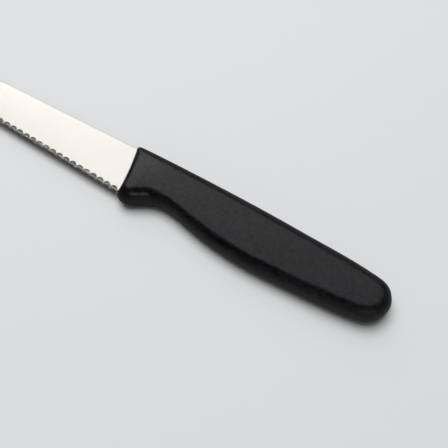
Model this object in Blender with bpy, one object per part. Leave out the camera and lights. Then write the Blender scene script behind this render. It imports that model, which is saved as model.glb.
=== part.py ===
"""Serrated vegetable knife: a stamped steel blade whose tang lies in a handle moulded over it.

Metres, +Z up. The knife lies on its side on z = 0: +X runs towards the butt of the handle and
+Y towards the spine. The knife is drawn about its middle plane, with x = 0 where the line of
the tooth tips meets the front of the handle, and is then laid down on the handle's flat side.
"""
import math

import bmesh
import bpy
from mathutils import Vector

# Blade, seen from its side
BLADE_LENGTH = 0.1120          # tip to the foot of the handle's front
BLADE_HEIGHT = 0.0194          # tooth tips to spine, at the foot of the handle's front
SPINE_TAPER = math.radians(3.55)
TIP_SWEEP = 0.0320             # length over which the edge rises to the tip
TIP_POWER = 2.1                # how late in that length it rises
TIP_BLUNT = 0.0006             # height of the blunted point
SPINE_DROP = 0.0012            # how far the spine bows down at the tip
SPINE_BOW = 0.0300             # length of that bow

# Blade, through its thickness
SPINE_THICKNESS = 0.0011
EDGE_THICKNESS = 0.00055       # at the edge, before the scallops are ground

# Scallops, ground into the upper side only
SCALLOP_PITCH = 0.00315
TOOTH_LENGTH = 0.0013          # tooth tip to the cusp between two hollows
ARCH_RISE = 0.00105            # cusp to the top of a hollow
NOTCH_DEPTH = 0.0006           # how far the edge curves in between two teeth
HOLLOW_SAG = 0.00007           # concavity of the ground hollow
FIRST_TOOTH = 0.0023           # depth of the last tooth inside the handle
PLAIN_TIP = 0.0070             # unscalloped length at the tip
SCALLOP_STEPS = 8

# Tang, inside the handle
SHOULDER = 0.0045              # depth of the blade's full height inside the handle
TANG_START = 0.0020            # depth at which the full thickness begins
TANG_STEP = 0.0042             # step from the blade's spine down to the tang
TANG_NECK_WALL = 0.0022        # plastic under the tang at the handle's neck
TANG_END_WALL = 0.0056         # plastic over and under the tang's end
TANG_END_COVER = 0.0166        # plastic behind the tang's end
TANG_HOLE_RADIUS = 0.0022
TANG_HOLE_MARGIN = 0.0100      # last hole to the tang's end
TANG_HOLE_FIRST = 0.0220
TANG_HOLES = 3

# Handle, seen from its side
HANDLE_LENGTH = 0.1095         # front top corner to butt
FRONT_LEAN = 0.0046            # lead of the front top corner over the foot
SPINE_COVER = 0.0012           # plastic over the blade's spine at the front
FRONT_CORNER = 0.0015          # size of the front top corner's rounding
CROWN_RISE = 0.0025            # rise of the spine from the front to its highest point
CROWN_FALL = 0.0002            # fall from there to the butt's upper corner
CROWN_PLACE = 0.0640
SPINE_REAR = 0.0120            # start of the butt's upper corner, from the butt
BUTT_DEPTH = 0.0081            # spine to the farthest point of the butt
REAR_PLACE = 0.0160            # start of the butt's lower corner, from the butt
REAR_HEIGHT = 0.0190
BELLY_PLACE = 0.0515
BELLY_HEIGHT = 0.0223
NECK_PLACE = 0.0184
NECK_HEIGHT = 0.0164
GUARD_PLACE = 0.0037
GUARD_DROP = 0.0017            # below the tooth tips

# Handle, through its thickness
THICKNESS_FRONT = 0.0101       # across the flats, where the cheeks begin
THICKNESS_REAR = 0.0118        # across the flats, at the butt
CHEEK_LENGTH = 0.0120          # stretch that thins towards the blade
CHEEK_DROP = 0.0009            # thinning of each side over that stretch
RIM_SPINE = 0.0050             # width of the rounding along the spine
RIM_BUTT = 0.0052
RIM_HEEL = 0.0043              # at the butt's lower corner
RIM_BELLY = 0.0037
RIM_NECK = 0.0035
RIM_GUARD = 0.0047
RIM_FRONT = 0.0028
RIM_CORNER = 0.0040            # at the front top corner
RIM_STEPS = 5

MOULD_CLEARANCE = 0.0003       # between the steel and the plastic round it

BLADE_COLOUR = (0.86, 0.85, 0.83)
HANDLE_COLOUR = (0.018, 0.018, 0.020)


def clear_scene():
    for old in list(bpy.data.objects):
        bpy.data.objects.remove(old, do_unlink=True)


def material(name, colour, metallic, roughness):
    made = bpy.data.materials.new(name)
    made.use_nodes = True
    shader = made.node_tree.nodes["Principled BSDF"]
    shader.inputs["Base Color"].default_value = (*colour, 1.0)
    shader.inputs["Metallic"].default_value = metallic
    shader.inputs["Roughness"].default_value = roughness
    return made


def body(name, points, faces, finish=None, parent=None):
    """One object from vertices and faces, with every face turned outwards."""
    mesh = bpy.data.meshes.new(name)
    shape = bmesh.new()
    corners = [shape.verts.new(point) for point in points]
    for face in faces:
        shape.faces.new([corners[index] for index in face])
    bmesh.ops.recalc_face_normals(shape, faces=shape.faces)
    shape.to_mesh(mesh)
    shape.free()
    made = bpy.data.objects.new(name, mesh)
    bpy.context.collection.objects.link(made)
    made.parent = parent
    if finish:
        mesh.materials.append(finish)
    else:
        made.hide_render = True
        made.display_type = "WIRE"
    return made


def boolean(target, tool, operation):
    step = target.modifiers.new(tool.name, "BOOLEAN")
    step.operation = operation
    step.solver = "EXACT"
    step.object = tool


def spine_at(x):
    """Height of the blade's spine over the line of the tooth tips."""
    straight = BLADE_HEIGHT + x * math.tan(SPINE_TAPER)
    into_bow = max(0.0, (SPINE_BOW - BLADE_LENGTH - x) / SPINE_BOW)
    return straight - SPINE_DROP * into_bow ** 2


def half_steel(y):
    """Half the blade's thickness, ground to a flat wedge from the spine to the edge."""
    share = y / BLADE_HEIGHT
    return (EDGE_THICKNESS + (SPINE_THICKNESS - EDGE_THICKNESS) * share) / 2


def edge_path():
    """The line of the tooth tips from the handle to the tip, with its length at each point."""
    sweep_start = TIP_SWEEP - BLADE_LENGTH
    rise = spine_at(-BLADE_LENGTH) - TIP_BLUNT
    steps = 120
    path = [Vector((FIRST_TOOTH, 0.0)), Vector((sweep_start, 0.0))]
    for step in range(1, steps + 1):
        share = step / steps
        path.append(Vector((sweep_start - TIP_SWEEP * share, rise * share ** TIP_POWER)))
    lengths = [0.0]
    for before, after in zip(path, path[1:]):
        lengths.append(lengths[-1] + (after - before).length)
    return path, lengths


def along_edge(path, lengths, distance):
    """A point on the line of the tooth tips and the direction from it into the blade."""
    index = 0
    while index < len(lengths) - 2 and lengths[index + 1] < distance:
        index += 1
    run = path[index + 1] - path[index]
    share = (distance - lengths[index]) / (lengths[index + 1] - lengths[index])
    ahead = run.normalized()
    return path[index] + run * share, Vector((ahead.y, -ahead.x))


def arc_height(share, half_width, rise):
    """Height over its chord of a circular arc that rises by rise in the middle."""
    radius = (half_width ** 2 + rise ** 2) / (2 * rise)
    across = (2 * share - 1) * half_width
    return math.sqrt(radius ** 2 - across ** 2) - (radius - rise)


def scallop_columns():
    """Plan points of the hollows' upper rim and of the cutting edge, from heel to tip."""
    path, lengths = edge_path()
    count = int((lengths[-1] - PLAIN_TIP) / SCALLOP_PITCH)
    rim, edge, middle = [], [], []
    for column in range(count * SCALLOP_STEPS + 1):
        share = (column % SCALLOP_STEPS) / SCALLOP_STEPS
        start, inward = along_edge(path, lengths, column * SCALLOP_PITCH / SCALLOP_STEPS)
        arch = arc_height(share, SCALLOP_PITCH / 2, ARCH_RISE)
        notch = arc_height(share, SCALLOP_PITCH / 2, NOTCH_DEPTH)
        rim.append(start + inward * (TOOTH_LENGTH + arch))
        edge.append(start + inward * notch)
        middle.append((arch / ARCH_RISE) * HOLLOW_SAG)
    plain_start = count * SCALLOP_PITCH
    plain_steps = 6
    for step in range(1, plain_steps + 1):
        share = step / plain_steps
        reach = blend(plain_start, lengths[-1], share)
        start, inward = along_edge(path, lengths, reach)
        rim.append(start + inward * blend(TOOTH_LENGTH, TIP_BLUNT / 2, share))
        edge.append(start)
        middle.append(0.0)
    return rim, edge, middle


def blade_body(finish, parent):
    """The ground blade, from its tip to the shoulder inside the handle.

    Its lower side is two faces, and the larger one is the part that stands free of the handle.
    """
    rim, edge, sags = scallop_columns()
    free_x = -FRONT_LEAN - MOULD_CLEARANCE
    free = next(index for index, plan in enumerate(edge) if plan.x < free_x)
    spine = [(SHOULDER, spine_at(SHOULDER)), (free_x, spine_at(free_x))]
    bow_steps = 8
    for step in range(bow_steps + 1):
        x = SPINE_BOW * (1 - step / bow_steps) - BLADE_LENGTH
        spine.append((x, spine_at(x)))
    heel = [(SHOULDER, 0.0), (FIRST_TOOTH, 0.0)]
    points = []

    def add(plan, height):
        points.append((plan[0], plan[1], height))
        return len(points) - 1

    upper_heel = add(heel[0], half_steel(0.0))
    upper_foot = add(heel[1], half_steel(0.0))
    lower_heel = add(heel[0], -half_steel(0.0))
    upper_rim = [add(plan, half_steel(plan[1])) for plan in rim]
    lower_edge = [add(plan, -half_steel(plan[1])) for plan in edge]
    hollow = []
    for top, bottom, sag in zip(rim, edge, sags):
        plan = (top + bottom) / 2
        height = (half_steel(top.y) - half_steel(bottom.y)) / 2
        hollow.append(add(plan, height - sag))
    upper_spine = [add(plan, half_steel(plan[1])) for plan in spine]
    lower_spine = [add(plan, -half_steel(plan[1])) for plan in spine]

    faces = [
        [upper_heel, upper_foot] + upper_rim + upper_spine[::-1],
        [lower_heel] + lower_edge[:free + 1] + lower_spine[1::-1],
        lower_edge[free:] + lower_spine[:0:-1],
        [upper_heel, lower_heel, lower_edge[0], upper_foot],
        [upper_foot, lower_edge[0], hollow[0], upper_rim[0]],
        [upper_heel, upper_spine[0], lower_spine[0], lower_heel],
        [upper_rim[-1], hollow[-1], lower_edge[-1], lower_spine[-1], upper_spine[-1]],
    ]
    for high, low in ((upper_rim, hollow), (hollow, lower_edge), (upper_spine, lower_spine)):
        for index in range(len(high) - 1):
            faces.append([high[index], high[index + 1], low[index + 1], low[index]])
    return body("blade", points, faces, finish, parent)


def tang_ends():
    """Plan places where the tang starts and ends: x, lower y and upper y of each."""
    levels = handle_levels()
    return (
        (TANG_START, levels["neck"] + TANG_NECK_WALL, BLADE_HEIGHT - TANG_STEP),
        (levels["butt_x"] - TANG_END_COVER, levels["rear"] + TANG_END_WALL,
         levels["crown"] - TANG_END_WALL),
    )


def tang_outline(grow):
    """Four plan corners of the tang, grown on every side by a clearance."""
    (start_x, start_low, start_high), (end_x, end_low, end_high) = tang_ends()
    return [
        (start_x - grow, start_low - grow), (end_x + grow, end_low - grow),
        (end_x + grow, end_high + grow), (start_x - grow, start_high + grow),
    ]


def slab(name, outline, half_at, finish=None, parent=None):
    """A flat piece with straight sides: its plan outline and half its thickness at each corner."""
    count = len(outline)
    points = [(x, y, half_at(y)) for x, y in outline] + [(x, y, -half_at(y)) for x, y in outline]
    faces = [list(range(count)), list(range(count, 2 * count))[::-1]]
    for index in range(count):
        after = (index + 1) % count
        faces.append([index, after, after + count, index + count])
    return body(name, points, faces, finish, parent)


def posts(name, radius, half_height, parent):
    """Upright round posts on the middles of the tang's holes, as one cutter."""
    sides = 24
    points, faces = [], []
    (start_x, start_low, start_high), (end_x, end_low, end_high) = tang_ends()
    for hole in range(TANG_HOLES):
        x = blend(TANG_HOLE_FIRST, end_x - TANG_HOLE_MARGIN, hole / (TANG_HOLES - 1))
        along = (x - start_x) / (end_x - start_x)
        y = blend((start_low + start_high) / 2, (end_low + end_high) / 2, along)
        first = len(points)
        for height in (-half_height, half_height):
            for side in range(sides):
                turn = 2 * math.pi * side / sides
                points.append((x + radius * math.cos(turn), y + radius * math.sin(turn), height))
        faces.append([first + side for side in range(sides)])
        faces.append([first + sides + side for side in range(sides)])
        for side in range(sides):
            after = (side + 1) % sides
            faces.append([first + side, first + after, first + sides + after, first + sides + side])
    return body(name, points, faces, None, parent)


def blade(finish, parent):
    made = blade_body(finish, parent)
    half = SPINE_THICKNESS / 2
    tang = slab("tang_blank", tang_outline(0.0), lambda y: half, None, parent)
    holes = posts("tang_holes", TANG_HOLE_RADIUS, 2 * half, parent)
    boolean(made, tang, "UNION")
    boolean(made, holes, "DIFFERENCE")
    return made


def bezier(start, end, steps):
    """Points from one knot towards the next, each knot a place and a heading in degrees."""
    turn = (end[2] - start[2] + 180) % 360 - 180
    first, last = Vector(start[:2]), Vector(end[:2])
    reach = (last - first).length / (3 * math.cos(math.radians(turn) / 4) ** 2)
    out, back = math.radians(start[2]), math.radians(end[2])
    control_out = first + reach * Vector((math.cos(out), math.sin(out)))
    control_back = last - reach * Vector((math.cos(back), math.sin(back)))
    points = []
    for step in range(steps):
        t = step / steps
        points.append(first * (1 - t) ** 3 + control_out * 3 * t * (1 - t) ** 2
                      + control_back * 3 * t ** 2 * (1 - t) + last * t ** 3)
    return points


def blend(start, end, share):
    return start + (end - start) * share


def handle_levels():
    """Heights over the line of the tooth tips, and lengths, that the handle's shape hangs on."""
    front = BLADE_HEIGHT + SPINE_COVER
    crown = front + CROWN_RISE
    butt_x = HANDLE_LENGTH - FRONT_LEAN
    return {
        "front": front, "crown": crown, "butt": crown - BUTT_DEPTH, "butt_x": butt_x,
        "rear": crown - REAR_HEIGHT, "rear_x": butt_x - REAR_PLACE,
        "belly": crown - BELLY_HEIGHT, "neck": front - NECK_HEIGHT,
    }


def between(start, end, along, up):
    """A place at one share of the way along from start to end, and at another share up."""
    return blend(start[0], end[0], along), blend(start[1], end[1], up)


def knot(place, heading, rim, slide=0.0, twist=0.0, steps=6):
    """A knot of the outline and the matching knot of the flat face, with the steps that follow.

    The face's knot lies one rim width inside the outline, slid along it by a share of the rim.
    """
    ahead = Vector((math.cos(math.radians(heading)), math.sin(math.radians(heading))))
    inward = Vector((ahead.y, -ahead.x))
    face = Vector(place) + inward * rim + ahead * rim * slide
    return (*place, heading), (face.x, face.y, heading + twist), steps


def handle_knots():
    """Knots of the handle's outline, clockwise, with their headings in degrees."""
    at = handle_levels()
    corner = (-FRONT_LEAN, at["front"])
    crown = (CROWN_PLACE, at["crown"])
    crown_end = (at["butt_x"] - SPINE_REAR, at["crown"] - CROWN_FALL)
    butt = (at["butt_x"], at["butt"])
    rear = (at["rear_x"], at["rear"])
    belly = (BELLY_PLACE, at["belly"])
    neck = (NECK_PLACE, at["neck"])
    guard = (GUARD_PLACE, -GUARD_DROP)
    foot = (0.0, GUARD_DROP / 2)
    return [
        # front top corner, then the spine
        knot((corner[0] + FRONT_CORNER, corner[1]), 3.3, RIM_CORNER, slide=1.0, twist=-2, steps=12),
        knot(crown, 0, RIM_SPINE),
        knot(crown_end, -4, RIM_SPINE),
        # round the butt
        knot(between(crown_end, butt, 0.825, 0.39), -52, RIM_BUTT, twist=-6),
        knot(butt, -90, RIM_BUTT, slide=0.25, twist=-2),
        knot(between(butt, rear, 0.21, 0.685), -139, RIM_HEEL, twist=-5, steps=5),
        knot(between(butt, rear, 0.50, 0.87), -165, RIM_BELLY, twist=-4, steps=5),
        # forwards along the belly
        knot(rear, -173, RIM_BELLY, steps=5),
        knot(between(rear, belly, 0.48, 0.58), -175, RIM_BELLY, steps=5),
        knot(belly, 180, RIM_BELLY, steps=5),
        knot(between(belly, neck, 0.57, 0.38), 172, RIM_NECK, twist=2),
        knot(neck, 180, RIM_NECK, slide=1.1),
        # round the guard and up the front
        knot(between(neck, guard, 0.55, 0.38), -147, RIM_GUARD, slide=0.17, twist=3),
        knot(between(neck, guard, 0.80, 0.80), -147, RIM_GUARD, slide=-0.15, twist=-3, steps=4),
        knot(guard, 180, RIM_GUARD, slide=0.1, twist=-10),
        knot(foot, 98.5, RIM_FRONT, slide=1.2, steps=8),
        knot((corner[0], corner[1] - FRONT_CORNER), 110, RIM_FRONT, slide=-1.6, twist=-3, steps=4),
    ]


def half_handle(x):
    """Half the handle's thickness across its flats, at a distance from the front."""
    run = HANDLE_LENGTH - FRONT_LEAN - CHEEK_LENGTH
    slope = (THICKNESS_REAR - THICKNESS_FRONT) / 2 / run
    into_cheek = max(0.0, (CHEEK_LENGTH - x) / (CHEEK_LENGTH + FRONT_LEAN))
    return THICKNESS_FRONT / 2 + slope * (x - CHEEK_LENGTH) - CHEEK_DROP * into_cheek ** 2


def handle_body(finish, parent):
    """The moulding's outer shape: elliptical roundings from the parting plane to the flats."""
    rows = handle_knots()
    outline, face = [], []
    for index, (outer, inner, steps) in enumerate(rows):
        after = rows[(index + 1) % len(rows)]
        outline += bezier(outer, after[0], steps)
        face += bezier(inner, after[1], steps)
    shape = bmesh.new()
    rings = []
    for level in range(-RIM_STEPS, RIM_STEPS + 1):
        turn = math.pi / 2 * level / RIM_STEPS
        ring = []
        for outer, inner in zip(outline, face):
            plan = outer + (inner - outer) * (1 - math.cos(turn))
            ring.append(shape.verts.new((plan.x, plan.y, math.sin(turn))))
        rings.append(ring)
    count = len(outline)
    for low, high in zip(rings, rings[1:]):
        for index in range(count):
            after = (index + 1) % count
            shape.faces.new([low[index], low[after], high[after], high[index]])
    shape.faces.new(rings[0])
    shape.faces.new(rings[-1])
    cheek_cuts = 5
    for cut in range(cheek_cuts):
        place = CHEEK_LENGTH - cut * (CHEEK_LENGTH + FRONT_LEAN) / cheek_cuts
        bmesh.ops.bisect_plane(shape, geom=shape.verts[:] + shape.edges[:] + shape.faces[:],
                               dist=1e-7, plane_co=(place, 0, 0), plane_no=(1, 0, 0))
    for corner in shape.verts:
        corner.co.z *= half_handle(corner.co.x)
    bmesh.ops.recalc_face_normals(shape, faces=shape.faces)
    mesh = bpy.data.meshes.new("handle")
    shape.to_mesh(mesh)
    shape.free()
    mesh.shade_smooth()
    mesh.set_sharp_from_angle(angle=math.radians(25))
    mesh.materials.append(finish)
    made = bpy.data.objects.new("handle", mesh)
    bpy.context.collection.objects.link(made)
    made.parent = parent
    return made


def handle(finish, parent):
    """The moulding with the pocket that the blade and its tang fill, and plugs in the holes."""
    made = handle_body(finish, parent)
    gap = MOULD_CLEARANCE
    ahead = -FRONT_LEAN - SHOULDER
    slot = [
        (ahead, -gap), (SHOULDER + gap, -gap),
        (SHOULDER + gap, spine_at(SHOULDER) + gap), (ahead, spine_at(ahead) + gap),
    ]
    mouth = slab("blade_slot", slot, lambda y: half_steel(y) + gap, None, parent)
    half = SPINE_THICKNESS / 2 + gap
    pocket = slab("tang_slot", tang_outline(gap), lambda y: half, None, parent)
    plugs = posts("plugs", TANG_HOLE_RADIUS - gap, 2 * half, parent)
    boolean(pocket, plugs, "DIFFERENCE")
    boolean(made, mouth, "DIFFERENCE")
    boolean(made, pocket, "DIFFERENCE")
    return made


def lay_down(knife, pieces):
    """Lays the knife on the handle's flat side, with its box centred over the origin."""
    rear = half_handle(HANDLE_LENGTH - FRONT_LEAN)
    front = half_handle(CHEEK_LENGTH)
    run = HANDLE_LENGTH - FRONT_LEAN - CHEEK_LENGTH
    knife.rotation_euler = (0.0, math.atan2(front - rear, run), 0.0)
    bpy.context.view_layer.update()
    corners = []
    graph = bpy.context.evaluated_depsgraph_get()
    for piece in pieces:
        solid = piece.evaluated_get(graph)
        mesh = solid.to_mesh()
        corners += [solid.matrix_world @ vertex.co for vertex in mesh.vertices]
        solid.to_mesh_clear()
    low = [min(corner[axis] for corner in corners) for axis in range(3)]
    high = [max(corner[axis] for corner in corners) for axis in range(3)]
    knife.location = (-(low[0] + high[0]) / 2, -(low[1] + high[1]) / 2, -low[2])
    bpy.context.view_layer.update()


def main():
    clear_scene()
    knife = bpy.data.objects.new("knife", None)
    bpy.context.collection.objects.link(knife)
    steel = material("ground steel", BLADE_COLOUR, 1.0, 0.28)
    plastic = material("black plastic", HANDLE_COLOUR, 0.0, 0.5)
    lay_down(knife, [blade(steel, knife), handle(plastic, knife)])


main()
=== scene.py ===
"""Looks of a serrated vegetable knife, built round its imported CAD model.

Metres. The knife is drawn as its solids were, about its middle plane: x = 0 where the line of
the tooth tips meets the front of the handle, +X towards the butt, +Y towards the spine and +Z
towards the scalloped face. place_in_frame() gives the matrix from that drawing to the frame.
"""
import math

import bmesh
import bpy
from mathutils import Matrix, Vector

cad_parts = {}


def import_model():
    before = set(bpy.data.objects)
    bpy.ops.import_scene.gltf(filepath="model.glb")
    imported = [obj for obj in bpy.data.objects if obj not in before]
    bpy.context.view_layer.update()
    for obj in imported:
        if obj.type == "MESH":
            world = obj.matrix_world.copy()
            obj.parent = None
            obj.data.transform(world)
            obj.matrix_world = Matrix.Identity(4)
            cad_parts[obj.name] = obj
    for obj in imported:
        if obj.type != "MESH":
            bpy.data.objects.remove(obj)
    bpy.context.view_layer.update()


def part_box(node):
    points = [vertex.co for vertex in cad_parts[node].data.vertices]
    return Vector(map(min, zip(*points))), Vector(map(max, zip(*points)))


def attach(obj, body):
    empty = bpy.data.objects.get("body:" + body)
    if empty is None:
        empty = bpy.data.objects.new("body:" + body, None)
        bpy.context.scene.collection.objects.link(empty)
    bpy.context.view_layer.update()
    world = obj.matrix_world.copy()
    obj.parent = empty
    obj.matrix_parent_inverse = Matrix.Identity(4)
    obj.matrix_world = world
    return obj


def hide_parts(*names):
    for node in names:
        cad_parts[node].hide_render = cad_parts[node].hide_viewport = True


# Blade, seen from its side
BLADE_LENGTH = 0.1120
BLADE_HEIGHT = 0.0194
SPINE_TAPER = math.radians(3.55)
TIP_SWEEP = 0.0320
TIP_POWER = 2.1
TIP_BLUNT = 0.0006
SPINE_DROP = 0.0012
SPINE_BOW = 0.0300

# Blade, through its thickness
SPINE_THICKNESS = 0.0011
EDGE_THICKNESS = 0.00055
SPINE_ROUNDING = 0.00010
FLAT_START = 1.2               # where the plain side starts, in heights of the ground band
FLAT_SHARES = (0.35, 0.7)      # rows of points between there and the spine

# Scallops
SCALLOP_PITCH = 0.00315
TOOTH_LENGTH = 0.0009          # shorter than the solid's tooth, by what the arch is higher
ARCH_RISE = 0.00145
NOTCH_DEPTH = 0.0006
HOLLOW_CURVE = 0.45            # share of the hollow's depth that lies near its two rims
FIRST_TOOTH = 0.0023
PLAIN_TIP = 0.0070
HEEL_CORNER = 0.00005          # between the plain heel and the first scallop
SCALLOP_STEPS = 20
BAND_STEPS = 8

# Tang
SHOULDER = 0.0045
TANG_START = 0.0020
TANG_STEP = 0.0042
TANG_NECK_WALL = 0.0022
TANG_END_WALL = 0.0056
TANG_END_COVER = 0.0166
TANG_HOLE_RADIUS = 0.0022
TANG_HOLE_MARGIN = 0.0100
TANG_HOLE_FIRST = 0.0220
TANG_HOLES = 3

# Handle, seen from its side
HANDLE_LENGTH = 0.1095
FRONT_LEAN = 0.0046
SPINE_COVER = 0.0012
FRONT_CORNER = 0.0015
CROWN_RISE = 0.0025
CROWN_FALL = 0.0002
CROWN_PLACE = 0.0640
SPINE_REAR = 0.0120
BUTT_DEPTH = 0.0081
REAR_PLACE = 0.0160
REAR_HEIGHT = 0.0190
BELLY_PLACE = 0.0515
BELLY_HEIGHT = 0.0223
NECK_PLACE = 0.0184
NECK_HEIGHT = 0.0164
GUARD_PLACE = 0.0037
GUARD_DROP = 0.0017

# Handle, through its thickness
THICKNESS_FRONT = 0.0101
THICKNESS_REAR = 0.0118
CHEEK_LENGTH = 0.0120
CHEEK_DROP = 0.0009
RIM_SPINE = 0.0050
RIM_BUTT = 0.0052
RIM_HEEL = 0.0043
RIM_BELLY = 0.0037
RIM_NECK = 0.0035
RIM_GUARD = 0.0047
RIM_FRONT = 0.0028
RIM_CORNER = 0.0040
FINER = 4                      # steps along the outline for each step of the solid's
RIM_STEPS = 16
SHELF_PLACE = (0.0080, 0.0035)  # middle of the shallow step in the guard's flank
SHELF_REACH = 0.0060
SHELF_DIP = 0.16               # its depth, as a share of half the handle's thickness
SHELF_INSET = 0.54             # where it is deepest, as a share of the rim's width
SHELF_WIDTH = 0.25
SHELF_POWER = 2.8              # of the flank's rounding there, where 2 is an ellipse
SHELF_END = 8                  # power that brings the step to nothing at the flat's border
CHEEK_STRIPS = 16              # strips across the part of the flats that bends
PARTING_RIDGE = 0.00003        # height of the hairline that the mould's halves leave
RIDGE_SHOULDER = 0.012         # its half width, as a share of half the handle's thickness
MOUTH_CLEARANCE = 0.00005      # between the steel and the plastic that was moulded round it

# Edges that bend by more than this are shaded as sharp
SHARP_STEEL = math.radians(11)
SHARP_PLASTIC = math.radians(30)

# Steel; the fineness of a noise is in cells per metre, and its spread is the part of its range
# in which the darkest colour turns into the lightest
STEEL_TONES = ((0.550, 0.522, 0.494), (0.562, 0.533, 0.505))
STEEL_SPREAD = (0.30, 0.70)
STEEL_CLOUD = 45.0
STEEL_LINES = (60, 5200, 5200)  # ground lines, along the blade and across it
STEEL_ROUGHNESS = 0.14
STEEL_ROUGHER = (0.05, 0.03, 0.28)  # what lines, clouds and hollows add to it at most
STEEL_BUMP = (0.12, 0.000004)  # strength, and the height of a line

# Plastic
PLASTIC_TONES = ((0.0000, 0.0000, 0.0004), (0.0070, 0.0062, 0.0084))
PLASTIC_SPREAD = (0.36, 0.64)
PLASTIC_CLOUD = 700.0
PLASTIC_GRAIN = 1300.0
PLASTIC_SPECULAR = 0.265
PLASTIC_ROUGHNESS = 0.35
PLASTIC_ROUGHER = (0.08, 0.06)  # what grain and clouds add to it at most
PLASTIC_BUMP = (0.7, 0.00016)  # strength, and the height of a grain

# Photograph's camera, in the knife's drawing
CAMERA_PLACE = Vector((0.1094, -0.09705, 0.27607))
CAMERA_ELEVATION = math.radians(65)
CAMERA_HEADING = math.radians(32.9)
CAMERA_LENS = 67.85            # mm, as the width of the sensor is
CAMERA_SENSOR = 36.0

# Studio light; a place is an elevation and a bearing in degrees, as direction() takes them
KEY_PLACE = (79, 15)
KEY_DISTANCE = 1.2
KEY_SIZE = 0.95
KEY_POWER = 12.0
BACK_PLACE = (49, 15)
BACK_DISTANCE = 2.0
BACK_SIZE = 2.2
BACK_POWER = 8.6
GLOSS_LIGHT = 1.5              # strength of the world that reflections see
ROOM_LIGHT = 0.14              # what reaches a matt surface from all round
ROOM_COLOUR = (0.99, 1.0, 1.0, 1.0)
BACKDROP = 0.74                # what the camera sees past the floor
FLOOR_HALF = 0.5
FLOOR_ROUGHNESS = 0.9
FLOOR = (0.742, 0.752, 0.760)
# Painted shade: reflections see the table at half its colour, so the handle's flanks reflect a
# darker table than the camera sees
FLOOR_IN_GLOSS = (0.371, 0.376, 0.380)  # as reflections see it, which keeps the flanks dark

# What gloss sees: a panel, whose sides fade between two slopes, run over rise; a lamp and a
# glow, each with its place, the angles at which it fades out and is full, and its strength
PANEL_LEFT = (-1.0, -0.46)
PANEL_RIGHT = (0.9, 0.4)
PANEL_NEAR = (0.05, 0.20)
PANEL_FAR = (1.4, 0.8)
LOWEST_RISE = 0.02             # keeps the slopes finite towards the horizon
LAMP_PLACE = (41, 20)
LAMP_ANGLES = (7, 2)
LAMP_STRENGTH = 29.0
GLOW_PLACE = (12, 192)
GLOW_ANGLES = (38, 16)
GLOW_STRENGTH = 0.60
ROOM_GLOSS = 0.02              # of the room, on all sides
AHEAD_PLACE = (0, 0)           # towards which the room grows lighter
AHEAD_COSINES = (-0.2, 1.0)    # of the angle from there, where that starts and ends
AHEAD_STRENGTH = 0.12          # by which it grows


def blend(start, end, share):
    return start + (end - start) * share


class Value:
    """A socket of a node tree, on which Python's operators add Math nodes."""

    def __init__(self, graph, socket):
        self.graph = graph
        self.socket = socket

    def math(self, operation, *values):
        return self.graph.add("ShaderNodeMath", {"operation": operation}, dict(enumerate(values)))

    def __add__(self, other):
        return self.math("ADD", self, other)

    def __sub__(self, other):
        return self.math("SUBTRACT", self, other)

    def __mul__(self, other):
        return self.math("MULTIPLY", self, other)

    def __truediv__(self, other):
        return self.math("DIVIDE", self, other)

    def __pow__(self, other):
        return self.math("POWER", self, other)

    def __rsub__(self, other):
        return self.math("SUBTRACT", other, self)

    __radd__ = __add__


class Graph:
    """A node tree, and the one way in which nodes are added to it."""

    def __init__(self, tree):
        self.tree = tree

    def add(self, kind, settings=None, sockets=None, out=0):
        """Adds a node with its settings, then the values or links of its sockets."""
        node = self.tree.nodes.new(kind)
        for name, setting in (settings or {}).items():
            if name == "stops":
                for stop, (place, colour) in zip(self.stops(node, len(setting)), setting):
                    stop.position = place
                    stop.color = (*colour, 1.0)
            else:
                setattr(node, name, setting)
        for name, value in (sockets or {}).items():
            if isinstance(value, Value):
                self.tree.links.new(value.socket, node.inputs[name])
            else:
                node.inputs[name].default_value = value
        return Value(self, node.outputs[out])

    @staticmethod
    def stops(ramp, count):
        elements = ramp.color_ramp.elements
        while len(elements) < count:
            elements.new(1.0)
        return elements


def spine_at(x):
    """Height of the blade's spine over the line of the tooth tips."""
    straight = BLADE_HEIGHT + x * math.tan(SPINE_TAPER)
    into_bow = max(0.0, (SPINE_BOW - BLADE_LENGTH - x) / SPINE_BOW)
    return straight - SPINE_DROP * into_bow ** 2


def half_steel(y):
    """Half the blade's thickness at a height over the line of the tooth tips."""
    return blend(EDGE_THICKNESS, SPINE_THICKNESS, y / BLADE_HEIGHT) / 2


def edge_path():
    """The line of the tooth tips from the handle to the tip, with its length at each point."""
    sweep_start = TIP_SWEEP - BLADE_LENGTH
    rise = spine_at(-BLADE_LENGTH) - TIP_BLUNT
    steps = 240
    path = [Vector((FIRST_TOOTH, 0.0)), Vector((sweep_start, 0.0))]
    for step in range(1, steps + 1):
        share = step / steps
        path.append(Vector((sweep_start - TIP_SWEEP * share, rise * share ** TIP_POWER)))
    lengths = [0.0]
    for before, after in zip(path, path[1:]):
        lengths.append(lengths[-1] + (after - before).length)
    return path, lengths


def along_edge(path, lengths, distance):
    """A point on the line of the tooth tips and the direction from it into the blade."""
    index = 0
    while index < len(lengths) - 2 and lengths[index + 1] < distance:
        index += 1
    run = path[index + 1] - path[index]
    share = (distance - lengths[index]) / (lengths[index + 1] - lengths[index])
    ahead = run.normalized()
    return path[index] + run * share, Vector((ahead.y, -ahead.x))


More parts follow.
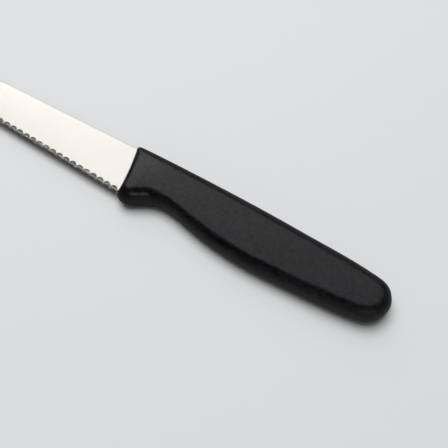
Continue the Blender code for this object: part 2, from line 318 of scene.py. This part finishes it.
def stations():
    """Cross-sections of the blade from heel to tip.

    Each is the distance along the tooth tips, their place, the way into the blade, the length of
    a tooth and whether scallops are ground there.
    """
    path, lengths = edge_path()
    count = int((lengths[-1] - PLAIN_TIP) / SCALLOP_PITCH)
    upright = Vector((0.0, 1.0))
    found = [
        (0.0, Vector((SHOULDER, 0.0)), upright, 0.0, 0.0),
        (0.0, Vector((FIRST_TOOTH + HEEL_CORNER, 0.0)), upright, 0.0, 0.0),
    ]
    for step in range(count * SCALLOP_STEPS + 1):
        distance = step * SCALLOP_PITCH / SCALLOP_STEPS
        place, inward = along_edge(path, lengths, distance)
        found.append((distance, place, inward, TOOTH_LENGTH, 1.0))
    plain_start = count * SCALLOP_PITCH
    plain_steps = 20
    for step in range(1, plain_steps + 1):
        share = step / plain_steps
        distance = blend(plain_start, lengths[-1], share)
        place, inward = along_edge(path, lengths, distance)
        found.append((distance, place, inward, blend(TOOTH_LENGTH, TIP_BLUNT / 2, share), 0.0))
    return found


def section(place, inward):
    """Points round the blade at one station, from the cutting edge up, over the spine and back.

    The band that is ground into scallops starts as points on the line of the tooth tips.
    """
    reach = TOOTH_LENGTH + ARCH_RISE
    top = Vector((place.x, spine_at(place.x) - SPINE_ROUNDING))
    near = place + inward * min(reach * FLAT_START, (top - place).length / 2)
    flat = [near, *(near.lerp(top, share) for share in FLAT_SHARES), top]
    round_steps = 3
    points = [(place.x, place.y, 0.0)] * (BAND_STEPS + 1)
    points += [(plan.x, plan.y, half_steel(plan.y)) for plan in flat]
    for side in (1, -1):
        arc = []
        for step in range(1, round_steps + 1):
            turn = math.pi / 2 * step / round_steps
            inset = SPINE_ROUNDING * (1 - math.cos(turn))
            arc.append((top.x, top.y + SPINE_ROUNDING * math.sin(turn),
                        side * (half_steel(top.y) - inset)))
        points += arc if side > 0 else arc[::-1]
    points += [(plan.x, plan.y, -half_steel(plan.y)) for plan in flat[::-1]]
    return points


def blade_blank():
    """The blade as a closed grid of sections, with what the grinding needs kept at each point."""
    mesh = bpy.data.meshes.new("blade")
    shape = bmesh.new()
    along = shape.verts.layers.float.new("along")
    band = shape.verts.layers.float.new("band")
    tooth = shape.verts.layers.float.new("tooth")
    ground = shape.verts.layers.float.new("ground")
    into = shape.verts.layers.float_vector.new("into")
    rows = []
    for distance, place, inward, length, scalloped in stations():
        row = []
        for index, point in enumerate(section(place, inward)):
            vertex = shape.verts.new(point)
            vertex[along] = distance
            vertex[band] = index / BAND_STEPS if index <= BAND_STEPS else -1.0
            vertex[tooth] = length
            vertex[ground] = scalloped
            vertex[into] = (inward.x, inward.y, 0.0)
            row.append(vertex)
        rows.append(row)
    count = len(rows[0])
    for before, after in zip(rows, rows[1:]):
        for index in range(count):
            ahead = (index + 1) % count
            shape.faces.new([before[index], before[ahead], after[ahead], after[index]])
    shape.faces.new(rows[0][::-1])
    shape.faces.new(rows[-1])
    shape.to_mesh(mesh)
    shape.free()
    made = bpy.data.objects.new("blade_blank", mesh)
    bpy.context.collection.objects.link(made)
    return made


def scallop_tree():
    """Geometry Nodes that grind the scallops: a row of hollows along the line of tooth tips."""
    tree = bpy.data.node_groups.new("grind scallops", "GeometryNodeTree")
    face = tree.interface
    face.new_socket("Geometry", in_out="INPUT", socket_type="NodeSocketGeometry")
    sizes = {
        "Pitch": SCALLOP_PITCH, "Arch Rise": ARCH_RISE, "Notch Depth": NOTCH_DEPTH,
        "Hollow Curve": HOLLOW_CURVE, "Edge Thickness": EDGE_THICKNESS,
        "Spine Thickness": SPINE_THICKNESS, "Blade Height": BLADE_HEIGHT,
    }
    for name in sizes:
        face.new_socket(name, in_out="INPUT", socket_type="NodeSocketFloat")
    face.new_socket("Steel", in_out="INPUT", socket_type="NodeSocketMaterial")
    face.new_socket("Geometry", in_out="OUTPUT", socket_type="NodeSocketGeometry")
    graph = Graph(tree)
    group = tree.nodes.new("NodeGroupInput")

    def given(name):
        return Value(graph, group.outputs[name])

    def stored(name, kind="FLOAT"):
        return graph.add("GeometryNodeInputNamedAttribute", {"data_type": kind}, {"Name": name})

    def arc(rise):
        """Height of a circular arc over its chord, one pitch wide, across each scallop."""
        half = given("Pitch") / 2
        radius = (half * half + rise * rise) / (rise * 2)
        across = (share * 2 - 1) * half
        return (radius * radius - across * across) ** 0.5 - (radius - rise)

    band, ground, into = stored("band"), stored("ground"), stored("into", "FLOAT_VECTOR")
    turns = stored("along") / given("Pitch")
    share = turns.math("FRACT", turns)
    upper = stored("tooth") + arc(given("Arch Rise")) * ground
    lower = arc(given("Notch Depth")) * ground
    depth = lower + (upper - lower) * band
    spot = graph.add("GeometryNodeInputPosition")

    def half_at(reach):
        """Half the steel's thickness at a depth inside the line of the tooth tips."""
        rise = graph.add("ShaderNodeSeparateXYZ", {}, {0: into}, out=1) * reach
        height = graph.add("ShaderNodeSeparateXYZ", {}, {0: spot}, out=1) + rise
        wedge = (given("Spine Thickness") - given("Edge Thickness")) / given("Blade Height")
        return (given("Edge Thickness") + wedge * height) * 0.5

    curve = given("Hollow Curve")
    rims = band * 2 - 1
    profile = band * (1 - curve) + (rims * rims * rims + 1) * curve * 0.5
    bottom, top = half_at(lower) * -1, half_at(upper)
    height = bottom + (top - bottom) * profile
    shift = graph.add("ShaderNodeVectorMath", {"operation": "SCALE"}, {0: into, "Scale": depth})
    lift = graph.add("ShaderNodeCombineXYZ", {}, {2: height})
    offset = graph.add("ShaderNodeVectorMath", {"operation": "ADD"}, {0: shift, 1: lift})
    in_band = graph.add("FunctionNodeCompare", {"operation": "GREATER_THAN"}, {0: band, 1: -0.5})
    moved = graph.add("GeometryNodeSetPosition", {}, {
        "Geometry": given("Geometry"), "Selection": in_band, "Offset": offset})
    # the ground band but for the two rows of points at its borders
    inside = band.math("COMPARE", band, 0.5, 0.49)
    marked = graph.add("GeometryNodeStoreNamedAttribute", {"data_type": "FLOAT"}, {
        "Geometry": moved, "Name": "hollow", "Value": inside * ground})
    real = graph.add("GeometryNodeRealizeInstances", {}, {0: marked})
    steel = graph.add("GeometryNodeSetMaterial", {}, {0: real, "Material": given("Steel")})
    end = tree.nodes.new("NodeGroupOutput")
    tree.links.new(steel.socket, end.inputs[0])
    return tree, sizes


def bake(piece, name):
    """The piece as its modifiers make it, as a plain mesh of its own."""
    graph = bpy.context.evaluated_depsgraph_get()
    mesh = bpy.data.meshes.new_from_object(piece.evaluated_get(graph))
    mesh.name = name
    bpy.data.objects.remove(piece)
    made = bpy.data.objects.new(name, mesh)
    bpy.context.collection.objects.link(made)
    return made


def prism(name, outline, half):
    """A flat cutter or slab: its plan outline and half its thickness."""
    mesh = bpy.data.meshes.new(name)
    shape = bmesh.new()
    rings = [[shape.verts.new((x, y, side * half)) for x, y in outline] for side in (-1, 1)]
    count = len(outline)
    for index in range(count):
        after = (index + 1) % count
        shape.faces.new([rings[0][index], rings[0][after], rings[1][after], rings[1][index]])
    shape.faces.new(rings[0][::-1])
    shape.faces.new(rings[1])
    bmesh.ops.recalc_face_normals(shape, faces=shape.faces)
    shape.to_mesh(mesh)
    shape.free()
    made = bpy.data.objects.new(name, mesh)
    bpy.context.collection.objects.link(made)
    return made


def carve(target, tool, operation):
    """Joins a tool to the target or cuts it out, and leaves a plain mesh."""
    step = target.modifiers.new("carve", "BOOLEAN")
    step.operation = operation
    step.solver = "EXACT"
    step.object = tool
    made = bake(target, target.name)
    bpy.data.objects.remove(tool)
    return made


def handle_levels():
    """Heights over the line of the tooth tips, and lengths, that the handle's shape hangs on."""
    front = BLADE_HEIGHT + SPINE_COVER
    crown = front + CROWN_RISE
    butt_x = HANDLE_LENGTH - FRONT_LEAN
    return {
        "front": front, "crown": crown, "butt": crown - BUTT_DEPTH, "butt_x": butt_x,
        "rear": crown - REAR_HEIGHT, "rear_x": butt_x - REAR_PLACE,
        "belly": crown - BELLY_HEIGHT, "neck": front - NECK_HEIGHT,
    }


def tang_ends():
    """Plan places where the tang starts and ends: x, lower y and upper y of each."""
    levels = handle_levels()
    return (
        (TANG_START, levels["neck"] + TANG_NECK_WALL, BLADE_HEIGHT - TANG_STEP),
        (levels["butt_x"] - TANG_END_COVER, levels["rear"] + TANG_END_WALL,
         levels["crown"] - TANG_END_WALL),
    )


def tang_outline(grow):
    """Four plan corners of the tang, grown on every side by a clearance."""
    (start_x, start_low, start_high), (end_x, end_low, end_high) = tang_ends()
    return [
        (start_x - grow, start_low - grow), (end_x + grow, end_low - grow),
        (end_x + grow, end_high + grow), (start_x - grow, start_high + grow),
    ]


def hole_outlines(radius):
    """Plan outlines of the tang's round holes."""
    sides = 48
    (start_x, start_low, start_high), (end_x, end_low, end_high) = tang_ends()
    for hole in range(TANG_HOLES):
        x = blend(TANG_HOLE_FIRST, end_x - TANG_HOLE_MARGIN, hole / (TANG_HOLES - 1))
        along = (x - start_x) / (end_x - start_x)
        y = blend((start_low + start_high) / 2, (end_low + end_high) / 2, along)
        turns = [2 * math.pi * side / sides for side in range(sides)]
        yield [(x + radius * math.cos(turn), y + radius * math.sin(turn)) for turn in turns]


def make_blade(steel, place):
    blank = blade_blank()
    tree, sizes = scallop_tree()
    grind = blank.modifiers.new("grind scallops", "NODES")
    grind.node_group = tree
    for item in tree.interface.items_tree:
        if item.in_out == "INPUT" and item.name in sizes:
            grind[item.identifier] = sizes[item.name]
        if item.in_out == "INPUT" and item.name == "Steel":
            grind[item.identifier] = steel
    made = bake(blank, "serrated_blade")
    half = SPINE_THICKNESS / 2
    made = carve(made, prism("tang", tang_outline(0.0), half), "UNION")
    for outline in hole_outlines(TANG_HOLE_RADIUS):
        made = carve(made, prism("tang_hole", outline, 2 * half), "DIFFERENCE")
    return finish_piece(made, steel, place, SHARP_STEEL)


def bezier(start, end, steps):
    """Points from one knot towards the next, each knot a place and a heading in degrees."""
    turn = (end[2] - start[2] + 180) % 360 - 180
    first, last = Vector(start[:2]), Vector(end[:2])
    reach = (last - first).length / (3 * math.cos(math.radians(turn) / 4) ** 2)
    out, back = math.radians(start[2]), math.radians(end[2])
    control_out = first + reach * Vector((math.cos(out), math.sin(out)))
    control_back = last - reach * Vector((math.cos(back), math.sin(back)))
    points = []
    for step in range(steps):
        t = step / steps
        points.append(first * (1 - t) ** 3 + control_out * 3 * t * (1 - t) ** 2
                      + control_back * 3 * t ** 2 * (1 - t) + last * t ** 3)
    return points


def between(start, end, along, up):
    """A place at one share of the way along from start to end, and at another share up."""
    return blend(start[0], end[0], along), blend(start[1], end[1], up)


def knot(place, heading, rim, slide=0.0, twist=0.0, steps=6):
    """A knot of the outline and the matching knot of the flat face, with the steps that follow.

    The face's knot lies one rim width inside the outline, slid along it by a share of the rim.
    """
    ahead = Vector((math.cos(math.radians(heading)), math.sin(math.radians(heading))))
    inward = Vector((ahead.y, -ahead.x))
    face = Vector(place) + inward * rim + ahead * rim * slide
    return (*place, heading), (face.x, face.y, heading + twist), steps * FINER


def handle_knots():
    """Knots of the handle's outline, clockwise, with their headings in degrees."""
    at = handle_levels()
    corner = (-FRONT_LEAN, at["front"])
    crown = (CROWN_PLACE, at["crown"])
    crown_end = (at["butt_x"] - SPINE_REAR, at["crown"] - CROWN_FALL)
    butt = (at["butt_x"], at["butt"])
    rear = (at["rear_x"], at["rear"])
    belly = (BELLY_PLACE, at["belly"])
    neck = (NECK_PLACE, at["neck"])
    guard = (GUARD_PLACE, -GUARD_DROP)
    foot = (0.0, GUARD_DROP / 4)
    return [
        # front top corner, then the spine
        knot((corner[0] + FRONT_CORNER, corner[1]), 3.3, RIM_CORNER, slide=1.0, twist=-2, steps=12),
        knot(crown, 0, RIM_SPINE),
        knot(crown_end, -4, RIM_SPINE),
        # round the butt
        knot(between(crown_end, butt, 0.825, 0.39), -52, RIM_BUTT, twist=-6),
        knot(butt, -90, RIM_BUTT, slide=0.25, twist=-2),
        knot(between(butt, rear, 0.21, 0.685), -139, RIM_HEEL, twist=-5, steps=5),
        knot(between(butt, rear, 0.50, 0.87), -165, RIM_BELLY, twist=-4, steps=5),
        # forwards along the belly
        knot(rear, -173, RIM_BELLY, steps=5),
        knot(between(rear, belly, 0.48, 0.58), -175, RIM_BELLY, steps=5),
        knot(belly, 180, RIM_BELLY, steps=5),
        knot(between(belly, neck, 0.57, 0.38), 172, RIM_NECK, twist=2),
        knot(neck, 180, RIM_NECK, slide=1.1),
        # round the guard and up the front
        knot(between(neck, guard, 0.55, 0.38), -147, RIM_GUARD, slide=0.17, twist=3),
        knot(between(neck, guard, 0.80, 0.80), -147, RIM_GUARD, slide=-0.15, twist=-3, steps=4),
        knot(guard, 180, RIM_GUARD, slide=0.1, twist=-10),
        knot(foot, 98.5, RIM_FRONT, slide=1.2, steps=8),
        knot((corner[0], corner[1] - FRONT_CORNER), 110, RIM_FRONT, slide=-1.6, twist=-3, steps=4),
    ]


def half_handle(x):
    """Half the handle's thickness across its flats, at a distance from the front."""
    run = HANDLE_LENGTH - FRONT_LEAN - CHEEK_LENGTH
    slope = (THICKNESS_REAR - THICKNESS_FRONT) / 2 / run
    into_cheek = max(0.0, (CHEEK_LENGTH - x) / (CHEEK_LENGTH + FRONT_LEAN))
    return THICKNESS_FRONT / 2 + slope * (x - CHEEK_LENGTH) - CHEEK_DROP * into_cheek ** 2


def flank_heights(outline, face, inset):
    """Heights of one ring of the moulding's side, as shares of half the handle's thickness.

    The side is a quarter of an ellipse, with a shallow step in the guard's flank.
    """
    bell = math.exp(-((inset - SHELF_INSET) / SHELF_WIDTH) ** 2)
    depth = SHELF_DIP * bell * (1 - inset ** SHELF_END)
    heights = []
    for outer, goal in zip(outline, face):
        away = (outer.lerp(goal, SHELF_INSET) - Vector(SHELF_PLACE)).length / SHELF_REACH
        # 1 up to a third of the reach, and down to 0 at its end
        near = min(1.0, max(0.0, 1.5 - 1.5 * away))
        near = near * near * (3 - 2 * near)
        power = blend(2.0, SHELF_POWER, near)
        heights.append((1 - (1 - inset) ** power) ** (1 / power) - depth * near)
    return heights


def handle_rings(outline, face):
    """Rings of points down the moulding's side, from the upper flat's border to the lower one's.

    Each is a ring in plan and its heights as shares of half the handle's thickness.
    """
    upper = []
    for step in range(RIM_STEPS, 0, -1):
        turn = math.pi / 2 * step / RIM_STEPS
        inset = 1 - math.cos(turn)
        ring = [outer.lerp(goal, inset) for outer, goal in zip(outline, face)]
        upper.append((ring, flank_heights(outline, face, inset)))
    count = len(outline)
    ridge = []
    for index, plan in enumerate(outline):
        ahead = (outline[(index + 1) % count] - outline[index - 1]).normalized()
        ridge.append(plan + Vector((-ahead.y, ahead.x)) * PARTING_RIDGE)
    upper += [(outline, [RIDGE_SHOULDER] * count), (ridge, [0.0] * count)]
    return upper + [(ring, [-height for height in heights]) for ring, heights in upper[-2::-1]]


def moulding():
    """The handle as a closed mesh: its sides, and two flats that bend only along the cheek."""
    rows = handle_knots()
    outline, face = [], []
    for index, (outer, inner, steps) in enumerate(rows):
        after = rows[(index + 1) % len(rows)]
        outline += bezier(outer, after[0], steps)
        face += bezier(inner, after[1], steps)
    mesh = bpy.data.meshes.new("moulded_handle")
    shape = bmesh.new()
    rings = []
    for ring, heights in handle_rings(outline, face):
        rings.append([shape.verts.new((plan.x, plan.y, height))
                      for plan, height in zip(ring, heights)])
    count = len(outline)
    for high, low in zip(rings, rings[1:]):
        for index in range(count):
            after = (index + 1) % count
            shape.faces.new([high[index], high[after], low[after], low[index]])
    flats = [shape.faces.new(rings[0]), shape.faces.new(rings[-1][::-1])]
    for strip in range(CHEEK_STRIPS + 1):
        x = blend(-FRONT_LEAN, CHEEK_LENGTH, strip / CHEEK_STRIPS)
        pieces = flats + list(dict.fromkeys(edge for flat in flats for edge in flat.edges))
        cut = bmesh.ops.bisect_plane(shape, geom=pieces, plane_co=(x, 0, 0), plane_no=(1, 0, 0))
        flats = [piece for piece in cut["geom"] if isinstance(piece, bmesh.types.BMFace)]
    for vertex in shape.verts:
        vertex.co.z *= half_handle(vertex.co.x)
    bmesh.ops.recalc_face_normals(shape, faces=shape.faces)
    shape.to_mesh(mesh)
    shape.free()
    made = bpy.data.objects.new("moulded_handle", mesh)
    bpy.context.collection.objects.link(made)
    return made


def make_handle(plastic, place):
    """The moulding, with the pocket that the blade and its tang fill."""
    made = moulding()
    gap = MOUTH_CLEARANCE
    ahead = -FRONT_LEAN - SHOULDER
    mouth = [
        (ahead, -gap), (SHOULDER + gap, -gap),
        (SHOULDER + gap, spine_at(SHOULDER) + gap), (ahead, spine_at(ahead) + gap),
    ]
    half = SPINE_THICKNESS / 2 + gap
    pocket = prism("tang_pocket", tang_outline(gap), half)
    for outline in hole_outlines(TANG_HOLE_RADIUS - gap):
        pocket = carve(pocket, prism("plug", outline, 2 * half), "DIFFERENCE")
    made = carve(made, prism("mouth", mouth, half), "DIFFERENCE")
    made = carve(made, pocket, "DIFFERENCE")
    return finish_piece(made, plastic, place, SHARP_PLASTIC)


def finish_piece(piece, material, place, sharp):
    """Lays a finished piece in the frame, shades it smooth and gives it its one material."""
    mesh = piece.data
    mesh.transform(place)
    mesh.materials.clear()
    mesh.materials.append(material)
    mesh.shade_smooth()
    mesh.set_sharp_from_angle(angle=sharp)
    return piece


def principled(name):
    """A new material, its graph and its shader."""
    made = bpy.data.materials.new(name)
    made.use_nodes = True
    return made, Graph(made.node_tree), made.node_tree.nodes["Principled BSDF"]


def noise(graph, place, scale, detail):
    return graph.add("ShaderNodeTexNoise", {}, {
        "Vector": place, "Scale": scale, "Detail": detail})


def dress(graph, shader, colour, rough, height, bump):
    """Gives a shader its colour, its roughness and a bump: what is high, and how strongly."""
    strength, distance = bump
    normal = graph.add("ShaderNodeBump", {}, {
        "Strength": strength, "Distance": distance, "Height": height})
    for name, value in (("Base Color", colour), ("Roughness", rough), ("Normal", normal)):
        graph.tree.links.new(value.socket, shader.inputs[name])


def satin_steel():
    """Stainless steel ground to a satin: fine lines along the blade, coarser in the scallops."""
    made, graph, shader = principled("satin steel")
    shader.inputs["Metallic"].default_value = 1.0
    place = graph.add("ShaderNodeTexCoord", {}, {}, out="Object")
    stretched = graph.add("ShaderNodeMapping", {}, {"Vector": place, "Scale": STEEL_LINES})
    lines = noise(graph, stretched, scale=1.0, detail=3.0)
    cloud = noise(graph, place, STEEL_CLOUD, detail=2.0)
    ground = graph.add("ShaderNodeAttribute", {"attribute_name": "hollow"}, {}, out="Fac")
    stops = list(zip(STEEL_SPREAD, STEEL_TONES))
    tone = graph.add("ShaderNodeValToRGB", {"stops": stops}, {0: cloud})
    by_lines, by_cloud, by_ground = STEEL_ROUGHER
    rough = STEEL_ROUGHNESS + lines * by_lines + cloud * by_cloud + ground * by_ground
    dress(graph, shader, tone, rough, lines, STEEL_BUMP)
    return made


def black_plastic():
    """Black polypropylene with the fine grain of a spark-eroded mould."""
    made, graph, shader = principled("grained black plastic")
    shader.inputs["Specular IOR Level"].default_value = PLASTIC_SPECULAR
    place = graph.add("ShaderNodeTexCoord", {}, {}, out="Object")
    grain = noise(graph, place, PLASTIC_GRAIN, detail=3.0)
    cloud = noise(graph, place, PLASTIC_CLOUD, detail=2.0)
    stops = list(zip(PLASTIC_SPREAD, PLASTIC_TONES))
    tone = graph.add("ShaderNodeValToRGB", {"stops": stops}, {0: cloud})
    by_grain, by_cloud = PLASTIC_ROUGHER
    rough = PLASTIC_ROUGHNESS + grain * by_grain + cloud * by_cloud
    dress(graph, shader, tone, rough, grain, PLASTIC_BUMP)
    return made


def place_in_frame():
    """Matrix from the knife's drawing to the frame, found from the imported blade's own corners."""
    run = HANDLE_LENGTH - FRONT_LEAN - CHEEK_LENGTH
    turn = Matrix.Rotation(math.atan2((THICKNESS_FRONT - THICKNESS_REAR) / 2, run), 4, "Y")
    blade_low, blade_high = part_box("blade")
    tip = turn @ Vector((-BLADE_LENGTH, 0.0, half_steel(spine_at(-BLADE_LENGTH))))
    shoulder = turn @ Vector((0.0, spine_at(SHOULDER), 0.0))
    flat = turn @ Vector((CHEEK_LENGTH, 0.0, -half_handle(CHEEK_LENGTH)))
    shift = Vector((blade_low.x - tip.x, blade_high.y - shoulder.y, -flat.z))
    return Matrix.Translation(shift) @ turn


def add_camera(place):
    data = bpy.data.cameras.new("camera")
    data.lens = CAMERA_LENS
    data.sensor_fit = "HORIZONTAL"
    data.sensor_width = CAMERA_SENSOR
    camera = bpy.data.objects.new("camera", data)
    bpy.context.collection.objects.link(camera)
    turn = (Matrix.Rotation(CAMERA_HEADING, 4, "Z")
            @ Matrix.Rotation(math.pi / 2 - CAMERA_ELEVATION, 4, "X"))
    camera.matrix_world = place @ Matrix.Translation(CAMERA_PLACE) @ turn
    bpy.context.scene.camera = camera


def direction(elevation, bearing):
    """A unit vector at an elevation, and a bearing to the left of the camera's line of sight."""
    level = math.cos(math.radians(elevation))
    turn = CAMERA_HEADING + math.pi / 2 + math.radians(bearing)
    return Vector((level * math.cos(turn), level * math.sin(turn),
                   math.sin(math.radians(elevation))))


def add_softbox(name, place, distance, size, power):
    toward = direction(*place)
    data = bpy.data.lights.new(name, "AREA")
    data.shape = "DISK"
    data.size = size
    data.energy = power
    lamp = bpy.data.objects.new(name, data)
    bpy.context.collection.objects.link(lamp)
    lamp.location = toward * distance
    lamp.rotation_euler = toward.to_track_quat("Z", "Y").to_euler()
    lamp.visible_glossy = False


def add_world():
    """A dim studio, as gloss sees it: a wide panel over the back, a lamp at its left end, and a
    low glow on the camera's side, which the steel shows when it is seen from behind.
    """
    world = bpy.data.worlds.new("studio")
    world.use_nodes = True
    bpy.context.scene.world = world
    graph = Graph(world.node_tree)
    background = world.node_tree.nodes["Background"]
    ray = graph.add("ShaderNodeTexCoord", {}, {}, out="Generated")
    x, y, z = (graph.add("ShaderNodeSeparateXYZ", {}, {0: ray}, out=axis) for axis in range(3))

    def fade(value, dark, bright, strength=1.0):
        """Rises smoothly from 0 to a strength as the value goes from dark to bright."""
        return graph.add("ShaderNodeMapRange", {"interpolation_type": "SMOOTHSTEP"}, {
            "Value": value, "From Min": dark, "From Max": bright, "To Max": strength})

    def facing(place):
        """The cosine of the angle between what the ray sees and a place."""
        return graph.add("ShaderNodeVectorMath", {"operation": "DOT_PRODUCT"},
                         {0: ray, 1: tuple(direction(*place))}, out="Value")

    def spot(place, angles, strength):
        """A round light at a place, soft between two angles from its middle."""
        dark, full = (math.cos(math.radians(angle)) for angle in angles)
        return fade(facing(place), dark, full, strength)

    rise = z.math("MAXIMUM", z, LOWEST_RISE)
    across, back = x / rise, y / rise
    panel = (fade(across, *PANEL_LEFT) * fade(across, *PANEL_RIGHT)
             * fade(back, *PANEL_NEAR) * fade(back, *PANEL_FAR))
    lamp = spot(LAMP_PLACE, LAMP_ANGLES, LAMP_STRENGTH)
    room = fade(facing(AHEAD_PLACE), *AHEAD_COSINES, AHEAD_STRENGTH) + ROOM_GLOSS
    glow = spot(GLOW_PLACE, GLOW_ANGLES, GLOW_STRENGTH)
    gloss = (room + panel + lamp + glow) * GLOSS_LIGHT
    glossy = graph.add("ShaderNodeLightPath", {}, {}, out="Is Glossy Ray")
    seen = graph.add("ShaderNodeLightPath", {}, {}, out="Is Camera Ray")
    strength = ROOM_LIGHT + glossy * (gloss - ROOM_LIGHT) + seen * (BACKDROP - ROOM_LIGHT)
    world.node_tree.links.new(strength.socket, background.inputs["Strength"])
    background.inputs["Color"].default_value = ROOM_COLOUR


def add_floor():
    mesh = bpy.data.meshes.new("table")
    half = FLOOR_HALF
    mesh.from_pydata([(-half, -half, 0), (half, -half, 0), (half, half, 0), (-half, half, 0)],
                     [], [(0, 1, 2, 3)])
    floor = bpy.data.objects.new("table", mesh)
    bpy.context.collection.objects.link(floor)
    made, graph, shader = principled("pale table")
    # Painted shade in reflections: glossy rays see the table at FLOOR_IN_GLOSS, darker than it is,
    # which darkens the handle's flanks
    glossy = graph.add("ShaderNodeLightPath", {}, {}, out="Is Glossy Ray")
    tone = graph.add("ShaderNodeValToRGB", {"stops": [
        (0.0, FLOOR), (1.0, FLOOR_IN_GLOSS)]}, {0: glossy})
    graph.tree.links.new(tone.socket, shader.inputs["Base Color"])
    shader.inputs["Roughness"].default_value = FLOOR_ROUGHNESS
    shader.inputs["Specular IOR Level"].default_value = 0.0
    mesh.materials.append(made)


def main():
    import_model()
    place = place_in_frame()
    add_camera(place)
    blade = make_blade(satin_steel(), place)
    handle = make_handle(black_plastic(), place)
    for piece, node in ((blade, "blade"), (handle, "handle")):
        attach(piece, "root")
        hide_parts(node)
    add_floor()
    add_world()
    add_softbox("key softbox", KEY_PLACE, KEY_DISTANCE, KEY_SIZE, KEY_POWER)
    add_softbox("back softbox", BACK_PLACE, BACK_DISTANCE, BACK_SIZE, BACK_POWER)
    bpy.context.scene.view_settings.view_transform = "Standard"


main()
